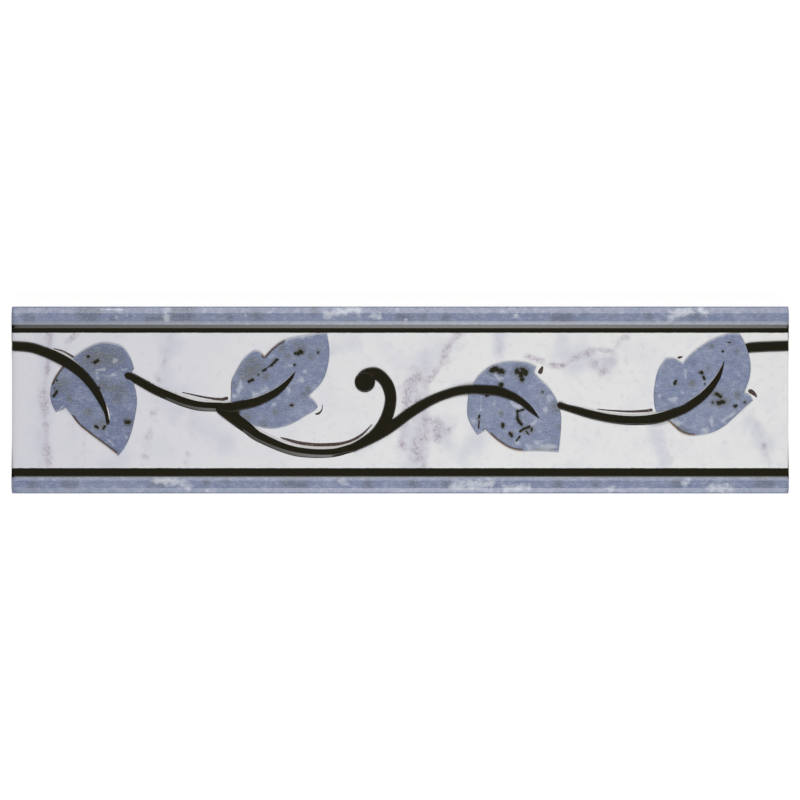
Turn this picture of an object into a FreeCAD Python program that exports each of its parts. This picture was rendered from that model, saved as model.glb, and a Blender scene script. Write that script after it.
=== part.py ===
import FreeCAD, Part
import os
import Sketcher

# Border tile with a scroll of vine and leaves in relief: one fired piece, lying on its back.
# X runs along the tile, Y up its face as it hangs on a wall, Z out of the face.
# The origin is the middle of the back.

Vector = FreeCAD.Vector

SIZES = {
    # plan of the tile
    "tile_length": 250.0,
    "tile_width": 60.2,
    # section across the tile: levels above the back, then the runs of each rim from the edge inwards
    "edge_level": 7.0,
    "crown_level": 7.95,
    "field_level": 7.0,
    "upper_bevel_run": 2.35,
    "upper_crown_run": 2.35,
    "upper_slope_run": 2.4,
    "lower_bevel_run": 1.9,
    "lower_crown_run": 2.3,
    "lower_slope_run": 1.7,
    "arris_round": 0.6,
    # keying grooves in the back
    "key_depth": 0.6,
    "key_width": 4.0,
    "key_side_margin": 8.1,
    "key_end_margin": 6.0,
    # relief
    "leaf_rise": 0.6,
    "leaf_crown_radius": 600.0,
    "vine_width": 3.3,
    "vine_rise": 0.55,
    "curl_ball_width": 6.7,
    "curl_ball_rise": 0.8,
}
KEY_COUNT = 6

# The scroll is drawn for a tile of this length, on a field of this width whose middle line has this Y.
# It is stretched to the tile's own length and field.
DRAWN_LENGTH = 250.0
DRAWN_HEIGHT = 47.2
DRAWN_MIDDLE = -0.6

# Leaf outlines: one arc after another, each from a corner through a point of its edge to the next corner.
LEAVES = {
    "drooping_leaf": [
        ("corner", -85.5, 10.1), ("edge", -88.1, 16.1), ("corner", -94.4, 18.5),
        ("edge", -102.3, 15.8), ("corner", -108.1, 11.3), ("edge", -112.6, 3.5),
        ("corner", -110.8, -3.8), ("edge", -109.4, -3.1), ("corner", -107.8, -2.0),
        ("edge", -102.1, -9.2), ("corner", -90.4, -17.9), ("edge", -84.6, -2.9),
        ("corner", -86.5, 9.1), ("edge", -86.2, 9.7),
    ],
    "rising_leaf": [
        ("corner", -23.5, 21.6), ("edge", -23.3, 10.0), ("corner", -29.1, 1.8),
        ("edge", -27.3, 0.5), ("corner", -26.5, -1.9), ("edge", -33.2, -7.0),
        ("corner", -41.8, -9.3), ("edge", -47.9, -7.6), ("corner", -51.2, -3.7),
        ("edge", -54.4, 4.0), ("corner", -47.2, 15.9), ("edge", -44.9, 15.5),
        ("corner", -43.6, 14.1), ("edge", -35.4, 19.9),
    ],
    "trailing_leaf": [
        ("corner", 43.9, 10.9), ("edge", 34.4, 12.5), ("corner", 25.6, 8.3),
        ("edge", 20.9, -0.8), ("corner", 24.8, -11.1), ("edge", 26.2, -10.2),
        ("corner", 27.3, -9.0), ("edge", 32.0, -13.7), ("corner", 42.3, -16.3),
        ("edge", 46.6, -16.6), ("corner", 51.0, -16.7), ("edge", 50.8, -1.3),
        ("corner", 43.3, 8.9), ("edge", 43.4, 10.0),
    ],
    "end_leaf": [
        ("corner", 109.3, 21.6), ("edge", 112.7, 11.6), ("corner", 110.6, 2.3),
        ("edge", 112.4, 1.5), ("corner", 113.6, -0.1), ("edge", 107.4, -5.6),
        ("corner", 97.1, -11.1), ("edge", 91.2, -10.6), ("corner", 82.5, -3.7),
        ("edge", 81.9, 5.5), ("corner", 85.5, 13.5), ("edge", 87.8, 13.6),
        ("corner", 90.9, 11.8), ("edge", 99.1, 18.8),
    ],
}

# Stem stations along each branch: place, share of the vine's full width, and how far the stem has
# climbed onto a leaf, from 0 on the field to 1 on the leaf.
STEMS = {
    "entering_stem": [
        (-125.0, 17.4, 1, 0), (-114.7, 15.6, 1, 0), (-106.4, 11.6, 1.05, 1), (-101.9, 8.1, 0.95, 1),
        (-98.4, 3.9, 0.9, 1), (-95.9, -0.6, 0.65, 1), (-94.5, -4.2, 0.4, 1), (-93.9, -7.2, 0.25, 1),
    ],
    "rising_stem": [
        (-88.0, 8.3, 0.7, 1), (-82.6, 5.3, 0.9, 0), (-74.5, 1.2, 0.9, 0), (-64.3, -2.0, 0.95, 0),
        (-55.2, -2.4, 0.95, 0.4), (-46.3, -0.7, 0.9, 1), (-41.0, 1.6, 0.8, 1), (-36.5, 5.2, 0.5, 1),
        (-33.3, 9.9, 0.15, 1),
    ],
    "curling_stem": [
        (-57.3, -2.7, 0.9, 0), (-52.5, -6.5, 1.2, 0), (-46.2, -11.4, 1.05, 0), (-37.2, -15.5, 0.95, 0),
        (-26.9, -17.3, 0.9, 0), (-17.6, -16.2, 0.85, 0), (-9.5, -12.0, 0.95, 0), (-5.0, -6.9, 1.15, 0),
        (-3.0, 0.0, 1.15, 0), (-3.6, 3.8, 1.2, 0), (-6.4, 7.7, 1.2, 0), (-9.9, 8.3, 1.3, 0),
    ],
    "falling_stem": [
        (-16.2, -15.6, 0.8, 0), (-7.1, -11.3, 1.05, 0), (-0.6, -7.0, 1.05, 0), (10.5, 0.1, 0.95, 0),
        (18.7, 2.9, 0.95, 0.3), (27.7, 3.2, 1.05, 1), (34.1, 2.0, 0.95, 1), (39.6, -1.1, 0.75, 1),
        (43.2, -4.3, 0.4, 1), (44.8, -5.9, 0.15, 1),
    ],
    "trailing_stem": [
        (50.8, -1.4, 0.6, 1), (56.9, -3.4, 0.8, 0), (65.0, -5.5, 0.85, 0), (74.0, -6.6, 0.9, 0),
        (83.0, -5.9, 0.95, 1), (91.2, -3.0, 0.9, 1), (97.4, 1.3, 0.8, 1), (101.6, 6.3, 0.6, 1),
        (104.2, 12.5, 0.15, 1),
    ],
    "leaving_stem": [
        (110.8, 16.5, 0.95, 1), (116.4, 17.1, 1, 0), (125.0, 17.4, 1, 0),
    ],
}
CURL_END = (-11.3, 5.8)
BLUNT_STARTS = ("rising_stem", "trailing_stem")
BLUNT_SWELL = 1.12

doc = FreeCAD.newDocument("border_tile")
sheet = doc.addObject("Spreadsheet::Sheet", "sizes")
for row, (alias, value) in enumerate(SIZES.items(), start=1):
    sheet.set(f"A{row}", alias)
    sheet.set(f"B{row}", str(value))
    sheet.setAlias(f"B{row}", alias)
doc.recompute()


def size(alias):
    """The value of one named size."""
    return float(sheet.get(alias))


def rim_width(side):
    """The full width of the upper or the lower rim."""
    return sum(size(f"{side}_{part}_run") for part in ("bevel", "crown", "slope"))


def on_tile(x, y):
    """A place of the drawn scroll, stretched to the tile."""
    field_top = size("tile_width") / 2 - rim_width("upper")
    field_bottom = rim_width("lower") - size("tile_width") / 2
    middle = (field_top + field_bottom) / 2
    stretch = (field_top - field_bottom) / DRAWN_HEIGHT
    return x * size("tile_length") / DRAWN_LENGTH, middle + (y - DRAWN_MIDDLE) * stretch


def sketch_on(body, plane_role, name):
    """A new sketch on one of the body's own origin planes."""
    plane = next(f for f in body.Origin.OriginFeatures if f.Role == plane_role)
    sketch = body.newObject("Sketcher::SketchObject", name)
    sketch.AttachmentSupport = [(plane, "")]
    sketch.MapMode = "FlatFace"
    return sketch


def dimension(sketch, kind, first, second, name, expression):
    """A distance between two points of a sketch, bound to an expression of the sizes."""
    x_or_y = 0 if kind == "DistanceX" else 1
    start = sketch.getPoint(*first)
    end = sketch.getPoint(*second)
    distance = end[x_or_y] - start[x_or_y]
    index = sketch.addConstraint(Sketcher.Constraint(kind, *first, *second, distance))
    sketch.renameConstraint(index, name)
    sketch.setExpression(f"Constraints.{name}", expression)


def closed_outline(sketch, points):
    """Straight lines from point to point and back to the first."""
    for i, start in enumerate(points):
        end = points[(i + 1) % len(points)]
        sketch.addGeometry(Part.LineSegment(Vector(*start, 0), Vector(*end, 0)), False)
    for i in range(len(points)):
        following = (i + 1) % len(points)
        sketch.addConstraint(Sketcher.Constraint("Coincident", i, 2, following, 1))


def rim_profile(side, outwards):
    """The section of one rim: foot of the side, edge, both ends of the crown, start of the field."""
    edge = size("tile_width") / 2
    crown_outer = edge - size(f"{side}_bevel_run")
    crown_inner = crown_outer - size(f"{side}_crown_run")
    field_start = crown_inner - size(f"{side}_slope_run")
    return [
        (outwards * edge, 0), (outwards * edge, size("edge_level")),
        (outwards * crown_outer, size("crown_level")), (outwards * crown_inner, size("crown_level")),
        (outwards * field_start, size("field_level")),
    ]


def draw_section(body):
    """The section across the tile: a rim at each long side with the flat field between."""
    sketch = sketch_on(body, "YZ_Plane", "section")
    upper = rim_profile("upper", 1)
    lower = rim_profile("lower", -1)
    closed_outline(sketch, upper + lower[::-1])
    foot_line = len(upper) + len(lower) - 1
    sketch.addConstraint(Sketcher.Constraint("Symmetric", 0, 1, foot_line, 1, -2))
    sketch.addConstraint(Sketcher.Constraint("PointOnObject", 0, 1, -1))
    dimension(sketch, "DistanceX", (foot_line, 1), (0, 1), "width", "sizes.tile_width")
    sketch.addConstraint(Sketcher.Constraint("Vertical", 0))
    sketch.addConstraint(Sketcher.Constraint("Vertical", foot_line - 1))
    # corner numbers from the edge inwards: edge, outer crown, inner crown, field
    for side, corners in (("upper", (1, 2, 3, 4)), ("lower", (8, 7, 6, 5))):
        edge, outer, inner, field = ((corner, 1) for corner in corners)
        runs = [(edge, outer, "bevel"), (outer, inner, "crown"), (inner, field, "slope")]
        for first, second, part in runs:
            left, right = (second, first) if side == "upper" else (first, second)
            dimension(sketch, "DistanceX", left, right, f"{side}_{part}", f"sizes.{side}_{part}_run")
        for point, part in ((edge, "edge"), (outer, "crown"), (inner, "crown"), (field, "field")):
            label = f"{side}_{part}_level_{point[0]}"
            dimension(sketch, "DistanceY", (0, 1), point, label, f"sizes.{part}_level")
    return sketch


def draw_key(body):
    """The plan of the first keying groove, a long rectangle near the lower edge of the back."""
    sketch = sketch_on(body, "XY_Plane", "key_plan")
    end = size("tile_length") / 2 - size("key_end_margin")
    low = size("key_side_margin") - size("tile_width") / 2
    high = low + size("key_width")
    closed_outline(sketch, [(-end, low), (end, low), (end, high), (-end, high)])
    sketch.addConstraint(Sketcher.Constraint("Vertical", 1))
    sketch.addConstraint(Sketcher.Constraint("Horizontal", 2))
    sketch.addConstraint(Sketcher.Constraint("Symmetric", 0, 1, 0, 2, -2))
    sketch.addConstraint(Sketcher.Constraint("Vertical", 3))
    dimension(sketch, "DistanceX", (0, 1), (0, 2), "run", "sizes.tile_length - 2 * sizes.key_end_margin")
    dimension(sketch, "DistanceY", (1, 1), (1, 2), "across", "sizes.key_width")
    to_middle = "sizes.tile_width / 2 - sizes.key_side_margin"
    dimension(sketch, "DistanceY", (0, 1), (-1, 1), "from_middle", to_middle)
    return sketch


def edges_where(shape, wanted):
    """The names of the edges whose middle passes the test."""
    names = []
    for number, edge in enumerate(shape.Edges, start=1):
        middle = edge.valueAt((edge.FirstParameter + edge.LastParameter) / 2)
        if wanted(middle, edge):
            names.append(f"Edge{number}")
    return names


def round_edges(body, name, alias, wanted):
    """A fillet of a named radius on the edges of the body's last feature that pass the test."""
    base = body.Tip
    fillet = body.newObject("PartDesign::Fillet", name)
    fillet.Base = (base, edges_where(base.Shape, wanted))
    fillet.setExpression("Radius", f"sizes.{alias}")
    body.Tip = fillet
    doc.recompute()


def add_blank():
    """The tile without its scroll: the padded section, rounded arrises and keyed back."""
    body = doc.addObject("PartDesign::Body", "blank")
    pad = body.newObject("PartDesign::Pad", "slab")
    pad.Profile = draw_section(body)
    pad.setExpression("Length", "sizes.tile_length")
    pad.Midplane = True
    doc.recompute()
    tile_end = size("tile_length") / 2
    tile_side = size("tile_width") / 2

    def on_face_arris(middle, edge):
        at_end = abs(abs(middle.x) - tile_end) < 0.01 and middle.z > 0.9 * size("field_level")
        at_side = abs(abs(middle.y) - tile_side) < 0.01 and abs(middle.z - size("edge_level")) < 0.01
        return at_end or at_side

    round_edges(body, "soft_arris", "arris_round", on_face_arris)
    slab_volume = body.Tip.Shape.Volume
    key = body.newObject("PartDesign::Pocket", "key_groove")
    key.Profile = draw_key(body)
    key.setExpression("Length", "sizes.key_depth")
    key.Reversed = True
    doc.recompute()
    keys = body.newObject("PartDesign::LinearPattern", "key_grooves")
    keys.Originals = [key]
    keys.Direction = (key.Profile[0], ["V_Axis"])
    keys.Occurrences = KEY_COUNT
    keys.setExpression("Length", "sizes.tile_width - 2 * sizes.key_side_margin - sizes.key_width")
    body.Tip = keys
    doc.recompute()
    groove = (size("tile_length") - 2 * size("key_end_margin")) * size("key_width") * size("key_depth")
    cut = slab_volume - body.Tip.Shape.Volume
    if abs(cut - KEY_COUNT * groove) > 0.01 * cut:
        raise RuntimeError(f"the keying grooves remove {cut:.1f} mm3")
    return body


def add_leaf(name, outline):
    """One leaf of the scroll: a pad, its top cut to a wide sphere, highest in the middle."""
    body = doc.addObject("PartDesign::Body", name)
    sketch = sketch_on(body, "XY_Plane", f"{name}_outline")
    sketch.setExpression("AttachmentOffset.Base.z", "sizes.field_level")
    places = [Vector(*on_tile(x, y), 0) for _, x, y in outline]
    for i in range(0, len(places), 2):
        start, middle, end = places[i], places[i + 1], places[(i + 2) % len(places)]
        sketch.addGeometry(Part.Arc(start, middle, end), False)
    pad = body.newObject("PartDesign::Pad", f"{name}_pad")
    pad.Profile = sketch
    pad.setExpression("Length", "sizes.leaf_rise")
    crown = doc.addObject("Part::Sphere", f"{name}_crown")
    crown.setExpression("Radius", "sizes.leaf_crown_radius")
    middle = sum(places, Vector()) / len(places)
    level = size("field_level") + size("leaf_rise") - size("leaf_crown_radius")
    crown.Placement.Base = Vector(middle.x, middle.y, level)
    crowned = doc.addObject("Part::MultiCommon", f"{name}_crowned")
    crowned.Shapes = [body, crown]
    return crowned


def ridge_radius(width, rise):
    """The radius of a round back with this width at its foot and this rise."""
    return (width * width / 4 + rise * rise) / (2 * rise)


def add_section(name, index, station, along):
    """One round section of a stem, square to its run, with its lower part inside the tile."""
    x, y, share, climb = station
    radius = ridge_radius(size("vine_width"), size("vine_rise"))
    level = size("field_level") + climb * size("leaf_rise")
    circle = doc.addObject("Part::Circle", f"{name}_section_{index}")
    full_radius = "(sizes.vine_width^2 / 4 + sizes.vine_rise^2) / (2 * sizes.vine_rise)"
    circle.setExpression("Radius", f"{share} * {full_radius}")
    down = Vector(0, 0, -1)
    turn = FreeCAD.Rotation(down, along.cross(down), along, "ZXY")
    centre = Vector(*on_tile(x, y), level + share * (size("vine_rise") - radius))
    circle.Placement = FreeCAD.Placement(centre, turn)
    return circle


def add_stem(name, stations):
    """One branch of the vine: a loft through its sections."""
    last = len(stations) - 1
    sections = []
    for i, station in enumerate(stations):
        before = Vector(*on_tile(*stations[max(i - 1, 0)][:2]), 0)
        after = Vector(*on_tile(*stations[min(i + 1, last)][:2]), 0)
        meets_next_tile = abs(station[0]) == DRAWN_LENGTH / 2
        along = Vector(1, 0, 0) if meets_next_tile else (after - before).normalize()
        sections.append(add_section(name, i, station, along))
    loft = doc.addObject("Part::Loft", name)
    loft.Sections = sections
    loft.Solid = True
    return loft


def add_ball(name, place, width, rise, level):
    """A round boss, the top of a sphere."""
    ball = doc.addObject("Part::Sphere", name)
    ball.Radius = ridge_radius(width, rise)
    ball.Placement.Base = Vector(*on_tile(*place), level + rise - ridge_radius(width, rise))
    return ball


def add_vine():
    """The branches of the vine, the ball that ends its curl and the round starts of two branches.
    They are whole tubes and balls, cut off level inside the tile."""
    pieces = [add_stem(name, stations) for name, stations in STEMS.items()]
    field = size("field_level")
    pieces.append(add_ball("curl_ball", CURL_END, size("curl_ball_width"), size("curl_ball_rise"), field))
    for name in BLUNT_STARTS:
        x, y, share, climb = STEMS[name][0]
        level = field + climb * size("leaf_rise")
        width = share * size("vine_width") * BLUNT_SWELL
        rise = share * size("vine_rise") * BLUNT_SWELL
        pieces.append(add_ball(f"{name}_start", (x, y), width, rise, level))
    room = doc.addObject("Part::Box", "relief_room")
    room.setExpression("Length", "sizes.tile_length")
    room.setExpression("Width", "sizes.tile_width")
    room.setExpression("Height", "sizes.field_level")
    room.setExpression("Placement.Base.x", "-sizes.tile_length / 2")
    room.setExpression("Placement.Base.y", "-sizes.tile_width / 2")
    room.setExpression("Placement.Base.z", "sizes.field_level / 2")
    trimmed = []
    for piece in pieces:
        cut = doc.addObject("Part::Common", f"{piece.Name}_ridge")
        cut.Base = piece
        cut.Tool = room
        trimmed.append(cut)
    return trimmed


leaves = [add_leaf(name, outline) for name, outline in LEAVES.items()]
tile = doc.addObject("Part::MultiFuse", "border_tile")
tile.Shapes = [add_blank()] + leaves + add_vine()
tile.Label = "border_tile"
doc.recompute()

for item in doc.Objects:
    if "Invalid" in item.State or "Error" in item.State:
        raise RuntimeError(f"{item.Name} is {item.State}")
if tile.Shape.isNull() or not tile.Shape.isValid() or len(tile.Shape.Solids) != 1:
    raise RuntimeError("the tile isn't one valid solid")
print(f"border_tile: {tile.Shape.Volume:.0f} mm3, {tile.Shape.BoundBox}")

os.makedirs("parts", exist_ok=True)
tile.Shape.exportStep("parts/border_tile.step")
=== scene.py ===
"""Victorian border tile: a pressed slab with printed bands, and a scroll of vine and leaves in relief.

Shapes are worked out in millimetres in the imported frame, the tile on its back, and made in metres.
The tables are in millimetres too, and a place in them is its X and Y.
"""

import math

import bpy
import numpy as np
from bpy.props import FloatProperty, FloatVectorProperty, PointerProperty
from bpy.types import Operator, Panel, PropertyGroup
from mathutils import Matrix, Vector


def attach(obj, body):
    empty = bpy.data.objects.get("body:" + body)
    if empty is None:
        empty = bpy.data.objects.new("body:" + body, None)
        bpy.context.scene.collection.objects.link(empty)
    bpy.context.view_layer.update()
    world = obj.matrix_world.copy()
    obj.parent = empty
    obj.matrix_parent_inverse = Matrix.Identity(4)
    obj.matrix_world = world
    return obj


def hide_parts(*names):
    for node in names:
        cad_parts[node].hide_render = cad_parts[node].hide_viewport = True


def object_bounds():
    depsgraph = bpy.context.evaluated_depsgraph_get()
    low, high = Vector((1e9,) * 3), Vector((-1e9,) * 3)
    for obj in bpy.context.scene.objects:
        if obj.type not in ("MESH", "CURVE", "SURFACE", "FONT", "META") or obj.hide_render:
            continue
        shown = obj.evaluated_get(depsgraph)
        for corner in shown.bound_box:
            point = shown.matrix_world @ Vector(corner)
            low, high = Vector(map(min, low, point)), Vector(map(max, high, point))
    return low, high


bl_info = {
    "name": "Border Tile",
    "version": (1, 0, 0),
    "blender": (4, 5, 0),
    "location": "View3D > Sidebar > Tile",
    "description": "Glazed border tile with a relief scroll of vine and leaves",
    "category": "Add Mesh",
}

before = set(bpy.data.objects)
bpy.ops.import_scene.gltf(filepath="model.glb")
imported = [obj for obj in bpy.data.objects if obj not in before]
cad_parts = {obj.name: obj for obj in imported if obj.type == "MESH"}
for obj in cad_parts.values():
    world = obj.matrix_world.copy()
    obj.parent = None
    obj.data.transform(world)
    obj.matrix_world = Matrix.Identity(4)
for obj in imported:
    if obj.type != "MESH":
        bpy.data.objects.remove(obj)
CAD_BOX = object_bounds()
NODE = "border_tile"
MM = 0.001
HALF_LENGTH = CAD_BOX[1].x / MM
HALF_WIDTH = CAD_BOX[1].y / MM

# The glaze: its roughness, and how far below the field the sides are bare and how far down they are covered.
GLAZE_ROUGHNESS, BARE_BELOW, COVERED_TO = 0.12, 1.9, 1.6

# Camera: widths of the photograph and of the tile in it, in pixels, then lens and sensor in millimetres.
PHOTO_PIXELS, TILE_PIXELS, LENS, SENSOR = 800, 777.2, 85, 36

# Lamps: length and distance in metres, and the middle and width of their glow as shares of the length.
LAMP_LENGTH, LAMP_DISTANCE, GLOW_MIDDLE, GLOW_WIDTH = 1.2, 0.6, 0.55, 0.2

# Keying grooves of the back: width, depth, pitch and how far they stop short of the ends.
GROOVE_WIDTH, GROOVE_DEPTH, GROOVE_PITCH, GROOVE_MARGIN, GROOVE_COUNT = 4.0, 0.6, 8.0, 6.0, 6

# Rims, from the long edge inwards: run of the bevel, the crown and the slope, and softness of the foot.
UPPER_RIM = (2.35, 2.35, 2.4, 0.06)
LOWER_RIM = (1.75, 2.4, 1.6, 0.3)

# Quarter-rounds along the long edges and at the left and right end: run and drop.
EDGE_ROUND, LEFT_ROUND, RIGHT_ROUND = (0.4, 0.35), (2.4, 0.9), (0.6, 0.4)

# Printed black lines, from Y to Y, and how softly their sides fade.
UPPER_LINE, LOWER_LINE, LINE_SOFTNESS = (21.6, 24.22), (-24.85, -21.9), 0.06

# How far the relief reaches down into the slab, so that no gap shows at its foot.
LEAF_DEPTH, VINE_DEPTH = 0.3, 1.0

# Leaves. An outline is smooth stretches between corners, each running on from where the one before it ended.
# A mark is how far it reaches and the X and Y of its one place, or of each place of its route: black ink in
# spots and cracks, ash-grey haze and pale bloom. Along a singed route the ink pooled and fired brown.
DROOPING_LEAF = {
    "middle": (-97, 2.5),
    "paleness": 0,
    "outline": [
        [(-86.7, 13.7), (-89.4, 17.3), (-94.4, 18.5), (-98, 18), (-101.6, 16.2), (-104.9, 13.8),
         (-108.6, 10.8), (-111.5, 6.5), (-112.5, 2.9), (-112.2, -0.7), (-110.8, -3.8)],
        [(-109.2, -3.2), (-107.8, -2)],
        [(-106.1, -4.3), (-103.4, -7.9), (-99.8, -10.9), (-94.4, -14.9), (-90.5, -17.9)],
        [(-88.1, -14.5), (-86.2, -9.7), (-84.7, -2.1), (-84.9, 2.6), (-86.3, 7.6)],
        [(-86.3, 8.9), (-85.5, 10.1)],
    ],
    "ink": [
        (0.4, -100.2, 13.9), (0.45, -98, 12.1, -97.1, 12.6), (0.2, -98.9, 12),
        (0.42, -111.2, 1.4, -110.3, 2.8), (0.25, -111, 3.8), (0.3, -110.4, 6.4),
        (0.15, -111.6, 5, -111.3, 5.8), (0.38, -97.9, -8.4, -97.2, -8.9), (0.35, -95.3, -9.1, -94.9, -8.5),
        (0.68, -88, -7.1, -87.3, -7.1), (0.5, -96.8, 3.9),
    ],
    "ash": [
        (3.4, -99, 13.2, -93, 13.8), (2.2, -94.6, 12.6), (1.6, -99.8, 13.4), (2.6, -109, 4.8),
        (1.9, -96.5, -7.6), (1.6, -87, -7), (1.9, -95.6, 4.8, -90, 3.8), (1.6, -100, -3.6),
        (1.6, -90.6, 0.8), (1.2, -106, 0.5),
    ],
    "bloom": [
        (0.7, -91.8, 12.6), (0.45, -97.3, 8.6, -97.2, 7), (0.4, -97.4, 9.6, -95, 9.7),
        (0.5, -92.4, 8.1, -91.2, 7.9), (0.4, -89.2, 9.8, -87.6, 10), (0.4, -93.6, -13, -92, -14.4),
        (0.6, -88, -12),
    ],
    "singed": [
        (-105, -5.8, -103.4, -7.9, -99.8, -10.9, -94.4, -14.9, -91.6, -17),
        (-108.6, 10.8, -110.4, 8.4, -111.7, 6),
    ],
}
RISING_LEAF = {
    "middle": (-39.5, 4.5),
    "paleness": 0.58,
    "outline": [
        [(-22.7, 16), (-23.4, 10.1), (-25.3, 5.6), (-29.3, 1.4)],
        [(-27.8, 0), (-26.7, -1.5), (-26.5, -2.4)],
        [(-27.6, -3.4), (-30.6, -5.2), (-33.6, -7), (-37.3, -8.5), (-41.8, -9.15), (-45.6, -8.5),
         (-48.2, -7.6), (-51, -6.3), (-53.4, -4), (-54.3, -1.2), (-54.4, 2.6), (-54.2, 6.2), (-52.8, 9.2),
         (-50.3, 13.3), (-47.2, 15.9)],
        [(-45.2, 15.7), (-43.6, 14.1)],
        [(-40.9, 16.9), (-37.7, 19.1), (-32.7, 20.5), (-26, 21.5), (-23.5, 21.6)],
    ],
    "ink": [
        (0.42, -48.5, 5.9, -47.5, 6.4), (0.36, -45.5, 8.1), (0.38, -44, 9.3, -43.4, 9.8),
        (0.18, -43.4, 9.8, -41.4, 11.2), (0.42, -41.4, 11.1, -39.5, 13), (0.6, -32.7, 15.1, -31.7, 15.5),
        (0.4, -33.6, 15), (0.35, -26.3, 15.3), (0.4, -33.8, 11.3), (0.3, -35, -1.7, -34.6, -1.7),
        (0.7, -52.2, -4, -52.4, -4.6),
    ],
    "ash": [
        (2.8, -49, 8.4, -46.6, 10.4), (1.6, -47.6, 12.4), (1.4, -43.2, 7.6), (1.4, -37.8, 16.4),
        (2.3, -32.4, 16.6), (1.2, -28.8, 14.1), (0.9, -26.3, 15.4), (0.8, -29.6, 3.6, -29.8, 2.6),
        (0.8, -31.1, 2), (1, -34.8, -1.8), (1, -53.2, 5), (0.8, -51.4, 8.6), (2, -49.4, -5.6),
        (1.2, -39.8, -4), (1.4, -44, -7.6), (1.2, -36, 14),
    ],
    "bloom": [
        (1, -46.6, 1.5, -43.2, 2.9), (0.8, -31.6, 6.6), (0.6, -30.6, 8.9), (0.4, -35.8, 11.2, -34.9, 10.9),
        (0.8, -40.4, -1.4), (0.7, -35.8, 3), (0.8, -51.6, 3, -51.2, 5.2), (0.8, -36, 20, -28, 21.2),
        (0.6, -53.2, 1.4),
    ],
    "singed": [
        (-43.6, 14.2, -41, 16.8, -38.1, 18.9), (-55.3, 6.4, -55.5, 3, -55.4, -0.4),
    ],
}
TRAILING_LEAF = {
    "middle": (38, -2),
    "paleness": 1,
    "outline": [
        [(41.1, 12), (36.9, 12.5), (32.9, 12.2), (28.8, 10.8), (25.6, 8.3), (23.5, 5.4), (22, 1.7),
         (21.6, -4.5), (22.9, -8.2), (24.8, -11.1)],
        [(26.2, -10.2), (27.2, -8.8)],
        [(28.7, -10.8), (31.8, -13.5), (35.3, -15.6), (38.6, -16.4), (42.3, -16.3), (47.2, -16.4),
         (51, -16.7)],
        [(51.6, -11.8), (51.9, -6), (51.5, -3.2), (50.2, 0.5), (48, 3.9), (45, 6.9), (43.2, 8.9)],
        [(43.4, 10), (43.9, 10.8)],
    ],
    "ink": [
        (0.8, 29.4, 9.5, 30.6, 9.8, 32, 9.4, 32.8, 9.2), (0.9, 37.7, 9.3), (0.8, 39.5, 9.7),
        (0.75, 38.7, 8.5, 40.6, 8.8), (0.5, 38.6, 7.7), (0.65, 39.2, 6.5), (0.25, 45.9, 2.6),
        (0.32, 37.6, -3.6, 38.8, -3.4, 39.9, -2.9), (0.42, 37.7, -4.4, 37.9, -6.2, 39, -8),
        (0.34, 38.6, -10.2, 40, -9.2, 41.6, -8.5), (0.22, 40.6, -10.1, 41.3, -11),
        (0.26, 42.4, -9, 42.2, -9.9), (0.26, 37.4, -13.1, 38.5, -11.7), (0.42, 33, -7.7, 33.1, -8.6),
        (0.42, 35.4, -10.7, 36, -11.6), (0.3, 25.5, -5.1, 25.4, -5.7), (0.22, 25.4, -6.8, 25.2, -9.2),
        (0.7, 32.5, 4.9), (0.5, 28, 1.5), (0.4, 27.5, -9.8),
    ],
    "ash": [
        (1.8, 50.2, -2.6), (0.9, 45.8, 2.6), (1.6, 41.2, -9.8), (0.9, 33, -8.1), (0.9, 32.6, -4.4),
        (0.9, 35.7, -11.2), (0.8, 50.9, -8.6), (0.9, 38.2, -6.2), (2, 39.2, 8.4), (0.7, 25.4, -6),
        (0.6, 42.6, -15.6, 50, -16),
    ],
    "bloom": [
        (0.22, 26.1, 1.2, 26, -3.2), (0.35, 30.5, 8.4, 31.4, 7, 32.5, 5.9), (0.5, 32.6, 7.2),
        (0.6, 35.9, -0.9, 37, -1.8, 38.6, -2.3), (0.5, 42.2, -7.8, 43.6, -6.7), (1.2, 44.2, -14),
        (0.8, 37.8, -14), (0.8, 23.4, -7), (1, 47.9, 1), (0.6, 46.9, -3.2), (0.5, 45, -10),
        (0.9, 41, -15, 49.5, -15.2), (0.6, 30.4, -1.2), (0.6, 46.4, 5.6),
    ],
    "singed": [
        (29.4, -11.4, 31.9, -13.6, 35.4, -15.7, 38.6, -16.4),
    ],
}
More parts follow.
